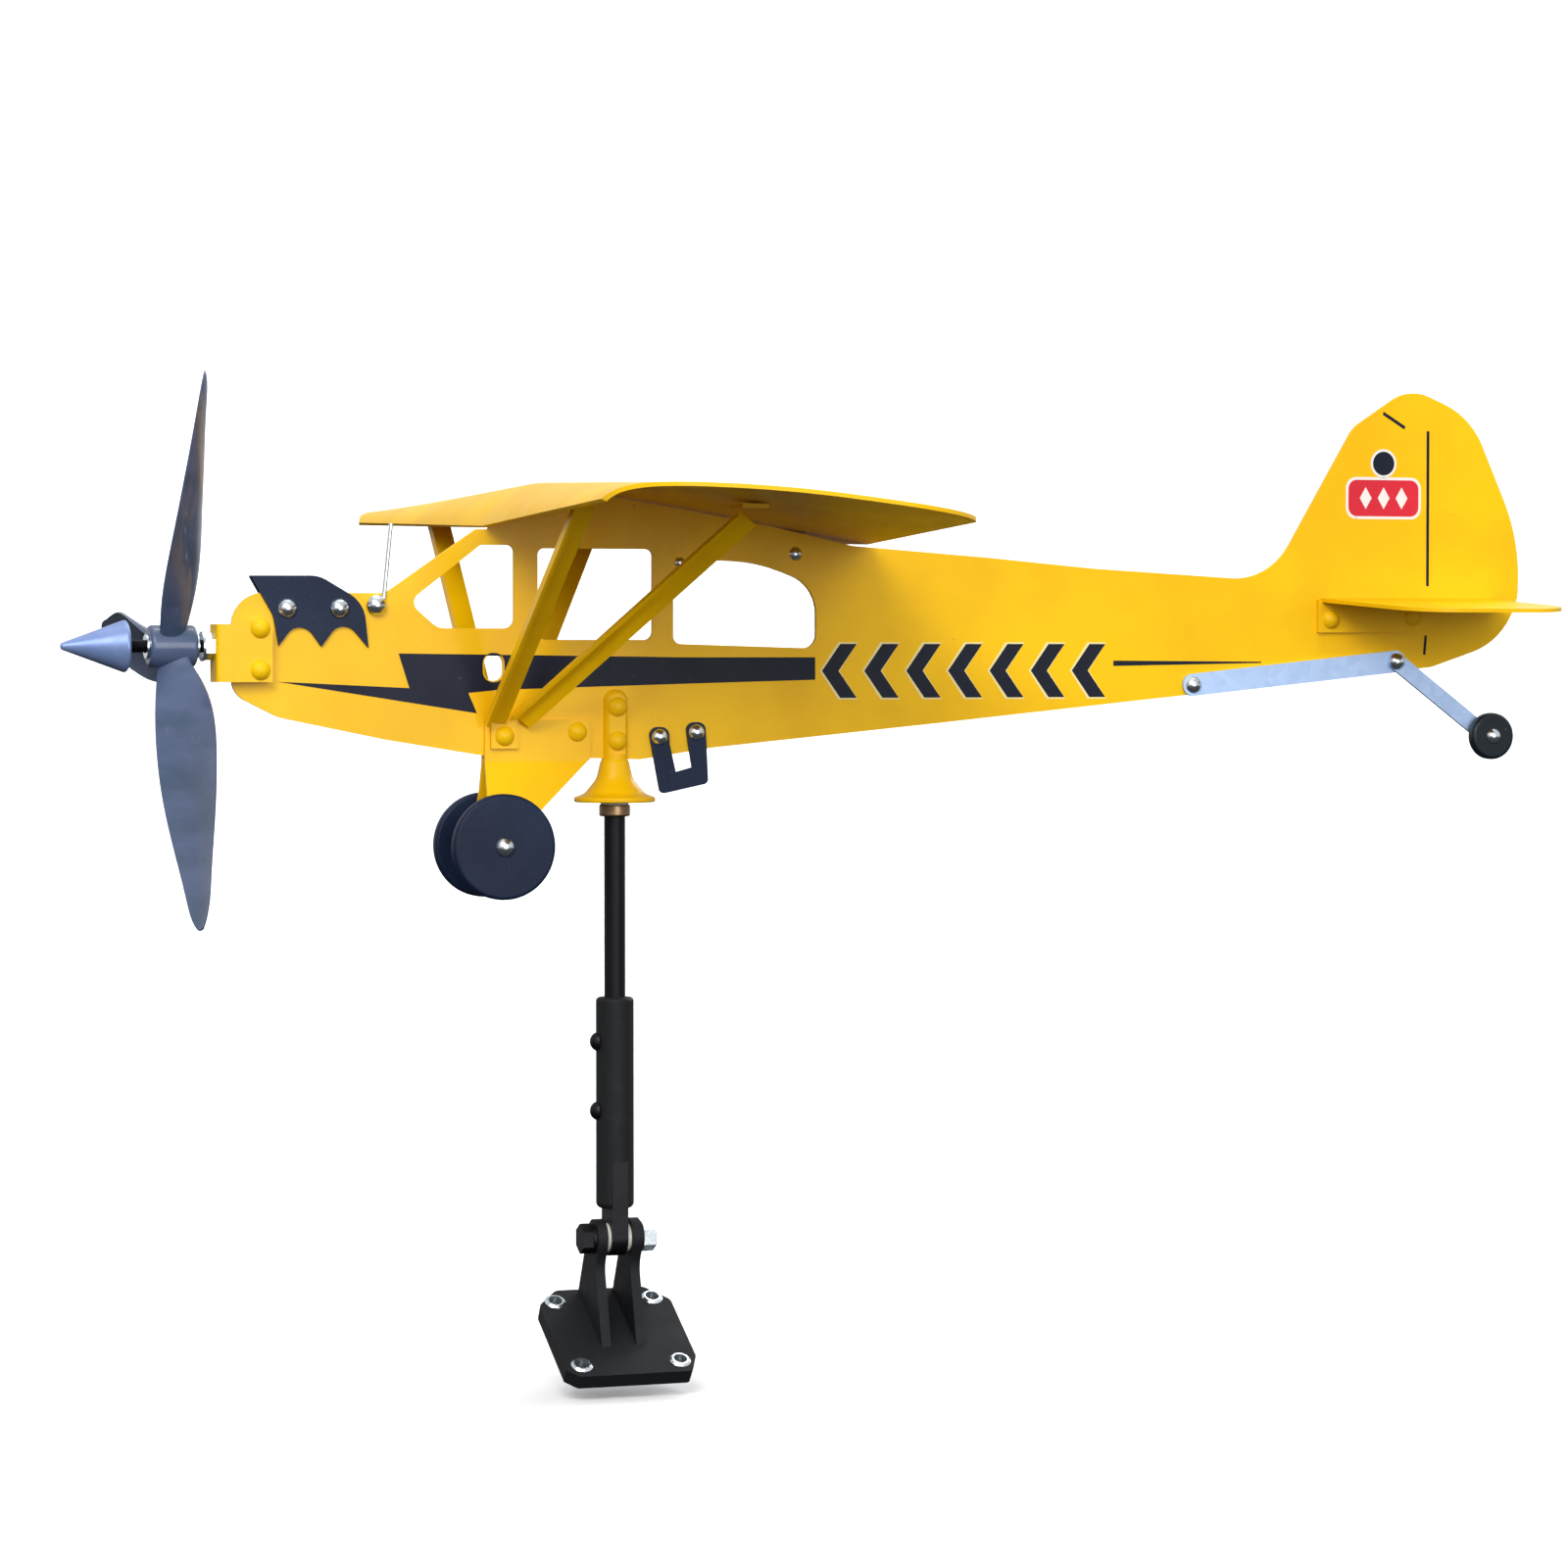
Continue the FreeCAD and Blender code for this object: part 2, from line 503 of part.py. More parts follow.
foot_pieces = []
for side in (-1, 1):
    foot = Part.makeBox(8.4, STRIP, 9.6, V(foot_x - 4.2, min(side * (HALF + STRIP), side * (HALF + 2 * STRIP)),
                                          foot_z - 3.8))
    foot_pieces.append(foot.cut(Part.makeCylinder(SCREW, 12, V(foot_x, -6, foot_z), V(0, 1, 0))))
group("strut_feet", foot_pieces)
top_tabs = []
for side in (-1, 1):
    for top_x in STRUT_TOPS.values():
        tab_z = min(underside(top_x - 4, STRUT_SPAN + 4), underside(top_x + 5, STRUT_SPAN + 4)) - STRIP - 0.1
        tab = Part.makeBox(8, 12, STRIP, V(top_x - 3.5, side * STRUT_SPAN - 6, tab_z))
        top_tabs.append(tab)
group("strut_top_tabs", top_tabs)

# ---------------------------------------------------------------- landing gear and wheels
AXLE_X = size("wheel_at")
AXLE_Z = size("wheel_high")
WHEEL_IN = size("wheel_near")
WHEEL_OUT = WHEEL_IN + size("wheel_thick")
LEG_FACE = WHEEL_IN - 0.7
leg_side = [(-41.2, 189), (-8.2, 189), (-8.2, 177.3), (AXLE_X + 5, 154.8), (AXLE_X + 5, AXLE_Z - 5, 4.6),
            (AXLE_X - 5, AXLE_Z - 5, 4.6), (-41.4, 168)]
side_wire = Part.Wire(Part.__sortEdges__([curve.toShape() for curve in rounded(leg_side)]))
side_wire.rotate(V(0, 0, 0), V(1, 0, 0), 90)
side_wire.translate(V(0, 12, 0))
side_block = Part.Face(side_wire).extrude(V(0, -24, 0))
axle_parts = []
for side, name in ((-1, "left"), (1, "right")):
    fold = [(HALF, 190), (HALF, 176.5), (LEG_FACE - STRIP, 159), (LEG_FACE - STRIP, 140),
            (LEG_FACE, 140), (LEG_FACE, 159), (HALF + STRIP, 176.5), (HALF + STRIP, 190)]
    fold_points = [V(-60, side * y, z) for y, z in fold]
    sheet_block = Part.Face(Part.makePolygon(fold_points + fold_points[:1])).extrude(V(60, 0, 0))
    leg = side_block.common(sheet_block)
    for x, z in GEAR_SCREWS + [(AXLE_X, AXLE_Z)]:
        leg = leg.cut(Part.makeCylinder(SCREW, 30, V(x, -15, z), V(0, 1, 0)))
    new_shape("gear_leg_" + name, leg.removeSplitter())
    out = (0, side, 0)
    inward = (0, -side, 0)
    wheel_bore = SCREW + size("fit_gap")
    rim = size("wheel_rad")
    turned("wheel_" + name, [(wheel_bore, 0), (rim, 0, 1.0), (rim, size("wheel_thick"), 1.0),
                             (wheel_bore, size("wheel_thick"))], (AXLE_X, side * WHEEL_IN, AXLE_Z), out)
    axle_parts.append(dome_screw((AXLE_X, side * (WHEEL_OUT + 0.15), AXLE_Z), out, WHEEL_OUT - LEG_FACE + 4.2))
    axle_parts.append(hex_nut((AXLE_X, side * (LEG_FACE - STRIP), AXLE_Z), inward))
    spacer = Part.makeCylinder(2.8, 0.6, V(AXLE_X, side * LEG_FACE, AXLE_Z), V(*out))
    axle_parts.append(spacer.cut(Part.makeCylinder(SCREW, 0.6, V(AXLE_X, side * LEG_FACE, AXLE_Z), V(*out))))
group("wheel_axle_screws", axle_parts)

# ---------------------------------------------------------------- nose bracket, shaft and propeller
NOSE_FRONT = -123.6
NOSE_OUT = 4.75
NOSE_IN = NOSE_OUT - STRIP
nose = new_body("nose_bracket")
channel = sketch_on(nose, "XY_Plane", "Channel")
channel.AttachmentOffset = FreeCAD.Placement(V(0, 0, 200.5), FreeCAD.Rotation())
draw(channel, [(-106.8, -NOSE_OUT), (-106.8, -NOSE_IN), (NOSE_FRONT + STRIP, -NOSE_IN),
               (NOSE_FRONT + STRIP, NOSE_IN), (-106.8, NOSE_IN), (-106.8, NOSE_OUT),
               (NOSE_FRONT, NOSE_OUT, 1.2), (NOSE_FRONT, -NOSE_OUT, 1.2)])
pad(nose, channel, "17")
doc.recompute()
side_holes = sketch_on(nose, "XZ_Plane", "FlangeHoles")
for x, z in BRACKET_SCREWS:
    ring(side_holes, x, z, "screw_rad")
side_cut = nose.newObject("PartDesign::Pocket", "FlangeHolesCut")
side_cut.Profile = side_holes
side_cut.SideType = "Symmetric"
side_cut.Length = 14
doc.recompute()
front_hole = sketch_on(nose, "YZ_Plane", "ShaftHole")
ring(front_hole, 0, SHAFT_Z, "shaft_rad")
front_cut = nose.newObject("PartDesign::Pocket", "ShaftHoleCut")
front_cut.Profile = front_hole
front_cut.SideType = "Symmetric"
front_cut.Length = 260
doc.recompute()
spacers = []
for x, z in BRACKET_SCREWS:
    for side in (-1, 1):
        tube = Part.makeCylinder(2.8, NOSE_IN - HALF, V(x, side * HALF, z), V(0, side, 0))
        spacers.append(tube.cut(Part.makeCylinder(SCREW, NOSE_IN, V(x, 0, z), V(0, side, 0))))
group("nose_spacers", spacers)

AFT = (1, 0, 0)
FORE = (-1, 0, 0)
HUB = size("hub_long")
PROP_X = size("prop_mid")
HUB_BACK = PROP_X + HUB / 2
HUB_FRONT = PROP_X - HUB / 2
SHAFT = size("shaft_rad")
CONE_BASE = size("cone_base")
bar("propeller_shaft", "shaft_rad", (-119.4, 0, SHAFT_Z), "%f" % (-119.4 - CONE_BASE + 5), FORE)
shaft_hardware = [hex_nut((NOSE_FRONT + STRIP, 0, SHAFT_Z), AFT, 3.5, 2.4, SHAFT),
                  hex_nut((NOSE_FRONT, 0, SHAFT_Z), FORE, 3.5, 2.8, SHAFT)]
group("shaft_nuts", shaft_hardware)
washers = []
for x, radius, thick in ((NOSE_FRONT - 2.8, 4.4, 0.8), (HUB_BACK + 0.75, 3.6, -0.65), (HUB_FRONT - 0.1, 3.6, 0.6)):
    start = V(x, 0, SHAFT_Z)
    disc = Part.makeCylinder(radius, abs(thick), start, V(-1, 0, 0))
    washers.append(disc.cut(Part.makeCylinder(SHAFT, abs(thick), start, V(-1, 0, 0))))
group("shaft_washers", washers)
turned("spinner_nut", [(SHAFT, 0), (size("cone_rad"), 0, 0.9), (0.9, size("cone_long"), 0.9), (0, size("cone_long")),
                       (0, 5), (SHAFT, 5)], (CONE_BASE, 0, SHAFT_Z), FORE)

# radius along the blade, chord, pitch, thickness, and how far the middle of the chord leads
BLADE = [(4.5, 9, 58, 5.0, 0), (14, 15, 48, 3.6, 0.6), (27, 21.5, 38, 2.6, 1.0), (42, 24, 30, 2.1, 0.4),
         (60, 20.5, 25, 1.7, -0.6), (78, 13.5, 21, 1.3, -2.0), (88, 7.5, 19, 1.0, -3.0),
         (size("prop_rad"), 2.5, 19, 0.7, -3.4)]


def blade_section(reach, chord, pitch, thick, lead):
    """A closed aerofoil wire, square to the blade, which points along +Z from the shaft's axis."""
    c = math.cos(math.radians(pitch))
    d = math.sin(math.radians(pitch))
    steps = 6
    curves = []
    for face in (1, -1):
        points = []
        for k in range(steps + 1):
            share = 2 * k / steps - 1
            u = share * chord / 2 + lead
            bow = 0.09 * chord * (1 - share * share)
            w = bow + face * thick * (0.5 - 0.35 * share * share)
            points.append(V(d * u + c * w, c * u - d * w, reach))
        curve = Part.BSplineCurve()
        curve.interpolate(points if face == 1 else points[::-1])
        curves.append(curve)
    top, low = curves
    rear = Part.LineSegment(top.EndPoint, low.StartPoint)
    front = Part.LineSegment(low.EndPoint, top.StartPoint)
    return Part.Wire([top.toShape(), rear.toShape(), low.toShape(), front.toShape()])


blade_loft = Part.makeLoft([blade_section(*station) for station in BLADE], True, False)
HUB_RAD = size("hub_rad")
hub = Part.makeCylinder(HUB_RAD, HUB, V(-HUB / 2, 0, 0), V(1, 0, 0))
hub = hub.makeFillet(1.2, [hub.Edges[0], hub.Edges[2]])
propeller = hub
for angle in (120, 240, 0):
    one = blade_loft.copy()
    one.rotate(V(0, 0, 0), V(1, 0, 0), angle - 90)
    propeller = propeller.fuse(one)
propeller = propeller.cut(Part.makeCylinder(size("prop_bush_rad"), HUB + 2, V(-HUB / 2 - 1, 0, 0), V(1, 0, 0)))
propeller.translate(V(PROP_X, 0, SHAFT_Z))
new_shape("propeller", propeller)
bar("propeller_bush", "prop_bush_rad", (HUB_BACK, 0, SHAFT_Z), "Sizes.hub_long", FORE, "shaft_rad + Sizes.fit_gap")

# ---------------------------------------------------------------- trim plates and gauge wire
engine_outline = [(-112.6, 231.8), (-92, 231.9, 10), (-78.4, 224, 10), (-77, 210.6), (-84.8, 219.6, 4.6),
                  (-91.3, 210.9), (-97.7, 219.6, 4.6), (-104.2, 211.2), (-105.8, 220, 6)]
engine_holes = [(x, z, "screw_rad") for x, z in ENGINE_SCREWS]
plate("engine_plate_left", engine_outline, "trim_thick", -HALF, engine_holes)
plate("engine_plate_right", engine_outline, "trim_thick", HALF + TRIM, engine_holes)
step_outline = [(10.2, 186.6, 2.6), (16.9, 186.6, 2.6), (17.0, 181.5), (19.0, 172.9), (24.2, 174.3), (23.0, 181.5),
                (22.2, 188.0, 2.4), (28.4, 188.0, 2.4), (28.8, 182), (29.4, 169.4, 1.6), (14.0, 166.2, 1.6)]
plate("step_plate", step_outline, "trim_thick", -HALF, [(x, z, "screw_rad") for x, z in STEP_SCREWS])
WIRE = 0.65
gx, gz = GAUGE_SCREW
eye = Part.makeTorus(2.2, WIRE, V(gx, -HALF - WIRE, gz), V(0, 1, 0))
stem_low = V(gx + 2.1, -HALF - WIRE, gz + 0.6)
stem = V(-70, -HALF - WIRE, 247.4) - stem_low
new_shape("gauge_wire", eye.fuse(Part.makeCylinder(WIRE, stem.Length, stem_low, stem)).removeSplitter())

# ---------------------------------------------------------------- tail
STAB_TOP = 226.4
DROOP = 4
stab_plan = [(236, 0), (245, -52, 17), (303, -52, 17), (298, 0)]
stab_wire = Part.Wire(Part.__sortEdges__([curve.toShape() for curve in rounded(stab_plan)]))
stab_blade = Part.Face(stab_wire).extrude(V(0, 0, STRIP))
stab_blade.rotate(V(0, 0, 0), V(1, 0, 0), DROOP)
stab_blade.translate(V(0, -HALF, STAB_TOP - STRIP))
stab_flange = Part.makeBox(38, STRIP, 10.4, V(235, -HALF - STRIP, STAB_TOP - 10.9))
for x, z in STAB_SCREWS:
    stab_flange = stab_flange.cut(Part.makeCylinder(SCREW, 8, V(x, -6, z), V(0, 1, 0)))
clear_side = Part.makeBox(100, 10, 40, V(230, -HALF, 200))
left_stab = stab_blade.fuse(stab_flange).cut(clear_side).removeSplitter()
new_shape("stabiliser_left", left_stab)
new_shape("stabiliser_right", left_stab.mirror(V(0, 0, 0), V(0, 1, 0)))


def strap(first, last, width, end_radius):
    """Corners of a straight strip with rounded ends about two screws."""
    run = V(last[0] - first[0], last[1] - first[1], 0).normalize()
    across = V(-run.y, run.x, 0) * (width / 2)
    start = V(first[0], first[1], 0) - run * (width / 2)
    stop = V(last[0], last[1], 0) + run * (width / 2)
    return [((p + q).x, (p + q).y, end_radius)
            for p, q in ((start, across), (start, across * -1), (stop, across * -1), (stop, across))]


TAIL_X = size("tail_wheel_at")
TAIL_Z = size("tail_wheel_high")
plate("tail_spring_strip", strap(STRIP_SCREWS[0], STRIP_SCREWS[1], 7.0, 3.3), "strip_thick", -HALF,
      [(x, z, "screw_rad") for x, z in STRIP_SCREWS])
plate("tail_wheel_leg", strap(STRIP_SCREWS[1], (TAIL_X, TAIL_Z), 5.4, 2.5), "strip_thick", -HALF - STRIP,
      [(x, z, "screw_rad") for x, z in [STRIP_SCREWS[1], (TAIL_X, TAIL_Z)]])
LEG_OUT = HALF + 2 * STRIP
TAIL_IN = LEG_OUT + 0.5
tail_bore = SCREW + size("fit_gap")
turned("tail_wheel", [(tail_bore, 0), (size("tail_wheel_rad"), 0, 1.2),
                      (size("tail_wheel_rad"), size("tail_wheel_thick"), 1.2),
                      (tail_bore, size("tail_wheel_thick"))], (TAIL_X, -TAIL_IN, TAIL_Z), NEAR)
TAIL_OUT = TAIL_IN + size("tail_wheel_thick") + 0.1
tail_spacer = Part.makeCylinder(2.6, 0.4, V(TAIL_X, -LEG_OUT, TAIL_Z), V(0, -1, 0))
group("tail_axle_screw", [dome_screw((TAIL_X, -TAIL_OUT, TAIL_Z), NEAR, TAIL_OUT - HALF + 1.2, 2.5, 1.6),
                          hex_nut((TAIL_X, -HALF - STRIP, TAIL_Z), FAR),
                          tail_spacer.cut(Part.makeCylinder(SCREW, 8, V(TAIL_X, -8, TAIL_Z), V(0, 1, 0)))])

# ---------------------------------------------------------------- screws through the fuselage plate


def through_screw(x, z, near, far, head=None, high=None):
    """A dome screw from the near side, with its nut on the far side."""
    nut = size("nut_high")
    return [dome_screw((x, -near, z), NEAR, near + far + nut + 0.6, head, high), hex_nut((x, far, z), FAR)]


def screws(label, places):
    solids = []
    for place in places:
        solids += through_screw(*place)
    group(label, solids)


screws("bracket_screws", [(x, z, NOSE_OUT, NOSE_OUT) for x, z in BRACKET_SCREWS])
screws("gear_screws", [(*GEAR_SCREWS[0], HALF + 2 * STRIP, HALF + 2 * STRIP),
                       (*GEAR_SCREWS[1], HALF + STRIP, HALF + STRIP)])
screws("housing_screws", [(0, z, 3.0, 3.0) for z in HOUSING_SCREWS])
screws("stabiliser_screws", [(x, z, HALF + STRIP, HALF + STRIP) for x, z in STAB_SCREWS])
screws("engine_plate_screws", [(x, z, HALF + TRIM, HALF + TRIM) for x, z in ENGINE_SCREWS])
screws("step_screws", [(x, z, HALF + TRIM, HALF, 2.6, 1.8) for x, z in STEP_SCREWS])
screws("gauge_screw", [(*GAUGE_SCREW, HALF + 2 * WIRE, HALF)])
screws("cabin_screw", [(*CABIN_SCREW, HALF, HALF, 1.8, 1.2)])
screws("tail_strip_screws", [(*STRIP_SCREWS[0], HALF + STRIP, HALF, 2.7, 1.8),
                             (*STRIP_SCREWS[1], HALF + 2 * STRIP, HALF, 2.7, 1.8)])

# ---------------------------------------------------------------- check and write
doc.recompute()
for item in doc.Objects:
    if "Invalid" in item.State or "Error" in item.State:
        raise RuntimeError("failed feature: %s %s" % (item.Name, item.State))
os.makedirs("parts", exist_ok=True)
for node in NODES:
    if node.Shape.isNull() or not node.Shape.isValid() or node.Shape.Volume <= 0:
        raise RuntimeError("bad shape: " + node.Label)
    node.Shape.exportStep("parts/%s.step" % node.Label)
    box = node.Shape.BoundBox
    print("%-22s %8.1f mm3  X %.1f..%.1f  Y %.1f..%.1f  Z %.1f..%.1f" % (
        node.Label, node.Shape.Volume, box.XMin, box.XMax, box.YMin, box.YMax, box.ZMin, box.ZMax))
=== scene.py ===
"""The looks of the aeroplane wind spinner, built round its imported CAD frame.

The frame's axes: +Z up, -X towards the nose, -Y towards the camera's side.  Outlines below are in
millimetres in the X and Z of the fuselage plate's plane, and `mm` turns them into metres.
"""

import json
import math

import bmesh
import bpy
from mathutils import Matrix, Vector
from mathutils.geometry import tessellate_polygon


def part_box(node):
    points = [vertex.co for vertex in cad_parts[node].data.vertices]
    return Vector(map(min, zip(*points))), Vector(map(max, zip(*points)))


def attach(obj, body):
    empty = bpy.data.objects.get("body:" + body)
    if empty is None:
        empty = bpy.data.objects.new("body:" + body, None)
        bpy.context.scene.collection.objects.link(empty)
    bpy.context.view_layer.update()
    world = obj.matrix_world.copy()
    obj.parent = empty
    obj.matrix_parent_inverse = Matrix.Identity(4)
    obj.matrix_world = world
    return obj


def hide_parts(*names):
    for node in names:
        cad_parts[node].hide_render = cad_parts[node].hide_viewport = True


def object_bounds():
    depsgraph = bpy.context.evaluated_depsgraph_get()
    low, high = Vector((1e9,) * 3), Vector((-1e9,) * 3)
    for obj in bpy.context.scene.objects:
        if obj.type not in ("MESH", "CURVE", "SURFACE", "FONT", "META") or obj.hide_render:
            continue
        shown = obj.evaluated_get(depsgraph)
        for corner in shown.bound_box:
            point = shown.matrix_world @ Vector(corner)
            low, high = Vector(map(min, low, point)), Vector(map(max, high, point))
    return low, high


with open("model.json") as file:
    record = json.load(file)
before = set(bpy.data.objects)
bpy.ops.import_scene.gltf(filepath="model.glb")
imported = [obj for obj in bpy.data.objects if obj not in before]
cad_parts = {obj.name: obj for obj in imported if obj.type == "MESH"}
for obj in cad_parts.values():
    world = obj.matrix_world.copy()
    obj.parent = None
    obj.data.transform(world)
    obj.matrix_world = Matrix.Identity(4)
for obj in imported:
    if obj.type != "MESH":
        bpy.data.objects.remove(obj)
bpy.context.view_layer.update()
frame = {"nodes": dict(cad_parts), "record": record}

MM = 0.001


# ---------------------------------------------------------------- materials
class Nodes:
    """A short way to write a shader: add nodes, link them, and set sockets by name."""

    def __init__(self, name):
        self.material = bpy.data.materials.new(name)
        self.material.use_nodes = True
        self.tree = self.material.node_tree
        self.shader = self.tree.nodes["Principled BSDF"]
        self.place = self.add("ShaderNodeTexCoord").outputs["Object"]

    def add(self, kind, links=None, **values):
        node = self.tree.nodes.new(kind)
        for key, value in values.items():
            if key in node.inputs:
                node.inputs[key].default_value = value
            else:
                setattr(node, key, value)
        for socket, source in (links or {}).items():
            self.tree.links.new(source, node.inputs[socket])
        return node

    def noise(self, scale, detail=3.0, stretch=(1, 1, 1)):
        mapping = self.add("ShaderNodeMapping", {"Vector": self.place})
        mapping.inputs["Scale"].default_value = stretch
        return self.add("ShaderNodeTexNoise", {"Vector": mapping.outputs["Vector"]},
                        Scale=scale, Detail=detail).outputs["Fac"]

    def ramp(self, source, stops):
        node = self.add("ShaderNodeValToRGB", {"Fac": source})
        elements = node.color_ramp.elements
        while len(elements) < len(stops):
            elements.new(0.5)
        for element, (position, color) in zip(elements, stops):
            element.position = position
            element.color = (*color, 1)
        return node.outputs["Color"]

    def mix(self, share, first, second):
        """Blends two colours, each an output or three numbers, by an output from 0 to 1."""
        node = self.add("ShaderNodeMix", data_type="RGBA")
        self.tree.links.new(share, node.inputs["Factor"])
        for label, value in (("A", first), ("B", second)):
            socket = [s for s in node.inputs if s.name == label and s.type == "RGBA"][0]
            if isinstance(value, bpy.types.NodeSocket):
                self.tree.links.new(value, socket)
            else:
                socket.default_value = (*value, 1)
        return [s for s in node.outputs if s.type == "RGBA"][0]

    def span(self, source, low, high):
        """Stretches a 0 to 1 output over low to high."""
        node = self.add("ShaderNodeMapRange", {"Value": source}, **{"To Min": low, "To Max": high})
        return node.outputs["Result"]

    def band(self, source, low, high):
        """0 below low, 1 above high, and smooth between."""
        node = self.add("ShaderNodeMapRange", {"Value": source}, interpolation_type="SMOOTHSTEP")
        node.inputs["From Min"].default_value = low
        node.inputs["From Max"].default_value = high
        return node.outputs["Result"]

    def set(self, **values):
        for key, value in values.items():
            socket = self.shader.inputs[key.replace("_", " ")]
            if isinstance(value, bpy.types.NodeSocket):
                self.tree.links.new(value, socket)
            else:
                socket.default_value = value

    def bump(self, height, strength, distance, under=None):
        node = self.add("ShaderNodeBump", {"Height": height}, Strength=strength, Distance=distance)
        if under:
            self.tree.links.new(under, node.inputs["Normal"])
        self.tree.links.new(node.outputs["Normal"], self.shader.inputs["Normal"])
        return node.outputs["Normal"]


def enamel(name, color, shade, chip, roughness=0.34, coat=0.06):
    """Sprayed enamel on sheet metal: slow colour drift, orange peel, fine dust and a few chips."""
    n = Nodes(name)
    drift = n.mix(n.band(n.noise(22, 5), 0.35, 0.65), color, shade)
    speck = n.band(n.noise(2600, 2), 0.70, 0.76)
    dusted = n.mix(speck, drift, tuple(0.75 * c + 0.08 for c in color))
    streak = n.band(n.noise(60, 5, (1, 1, 0.18)), 0.62, 0.86)
    worn = n.mix(streak, dusted, tuple(0.86 * c for c in shade))
    flakes = n.band(n.noise(420, 6), 0.735, 0.75)
    n.set(Base_Color=n.mix(flakes, worn, chip),
          Roughness=n.span(n.noise(90, 5), roughness - 0.07, roughness + 0.12),
          Coat_Weight=coat, Coat_Roughness=0.12, Specular_IOR_Level=0.16)
    peel = n.bump(n.noise(520, 2), 0.10, 0.0004)
    n.bump(flakes, -0.25, 0.00005, peel)
    return n.material


def bright_metal(name, color, roughness, grain=(1, 1, 1), blotch=0.85):
    """Plated or brushed metal with fine scratches along one direction."""
    n = Nodes(name)
    tone = n.mix(n.band(n.noise(160, 4), 0.3, 0.75), color, tuple(blotch * c for c in color))
    scratch = n.noise(900, 4, grain)
    n.set(Base_Color=tone, Metallic=1.0, Roughness=n.span(scratch, roughness - 0.06, roughness + 0.16))
    n.bump(scratch, 0.12, 0.00006)
    return n.material


def powder_coat(name, color, lift, roughness):
    """Black powder coat: a fine even pebble and greyer rubbed patches."""
    n = Nodes(name)
    rub = n.band(n.noise(70, 5), 0.55, 0.8)
    n.set(Base_Color=n.mix(rub, color, lift),
          Roughness=n.span(n.noise(300, 3), roughness - 0.08, roughness + 0.1),
          Specular_IOR_Level=0.22)
    pebble = n.bump(n.noise(2300, 2), 0.35, 0.0001)
    n.bump(n.noise(240, 3), 0.12, 0.0002, pebble)
    return n.material


def galvanised(name):
    """Zinc spangle: flat crystal patches of slightly different grey and gloss."""
    n = Nodes(name)
    cells = n.add("ShaderNodeTexVoronoi", {"Vector": n.place}, Scale=420.0)
    patch = cells.outputs["Color"]
    grey = n.ramp(patch, [(0.1, (0.42, 0.58, 0.88)), (0.5, (0.46, 0.62, 0.91)), (0.9, (0.50, 0.66, 0.94))])
    dirt = n.band(n.noise(130, 5), 0.6, 0.82)
    n.set(Base_Color=n.mix(dirt, grey, (0.46, 0.54, 0.68)), Metallic=0.6,
          Roughness=n.span(patch, 0.40, 0.5))
    n.bump(cells.outputs["Distance"], 0.05, 0.00005)
    return n.material


def moulded(name, color, deep, roughness, coat):
    """Moulded plastic with faint flow lines and a light haze."""
    n = Nodes(name)
    flow = n.noise(34, 4, (1, 1, 3))
    haze = n.band(n.noise(420, 3), 0.66, 0.8)
    tone = n.mix(n.band(flow, 0.3, 0.7), color, deep)
    n.set(Base_Color=n.mix(haze, tone, tuple(0.6 * c + 0.06 for c in color)),
          Roughness=n.span(n.noise(150, 4), roughness - 0.05, roughness + 0.1), Coat_Weight=coat,
          Coat_Roughness=0.08, Specular_IOR_Level=0.3)
    n.bump(n.noise(700, 2), 0.06, 0.0001)
    return n.material


def turned_aluminium(name):
    """Fine lathe rings round the propeller's axis."""
    n = Nodes(name)
    apart = n.add("ShaderNodeSeparateXYZ", {"Vector": n.place})
    rings = n.add("ShaderNodeMath", {0: apart.outputs["X"]}, operation="MULTIPLY")
    rings.inputs[1].default_value = 16000.0
    wave = n.add("ShaderNodeMath", {0: rings.outputs[0]}, operation="SINE").outputs[0]
    height = n.add("ShaderNodeMath", {0: wave, 1: n.noise(500, 3)}, operation="ADD").outputs[0]
    tone = n.mix(n.band(n.noise(140, 4), 0.3, 0.7), (0.17, 0.25, 0.50), (0.21, 0.30, 0.56))
    n.set(Base_Color=tone, Metallic=0.3, Roughness=n.span(n.noise(260, 3), 0.28, 0.46))
    n.bump(height, 0.12, 0.00004)
    return n.material


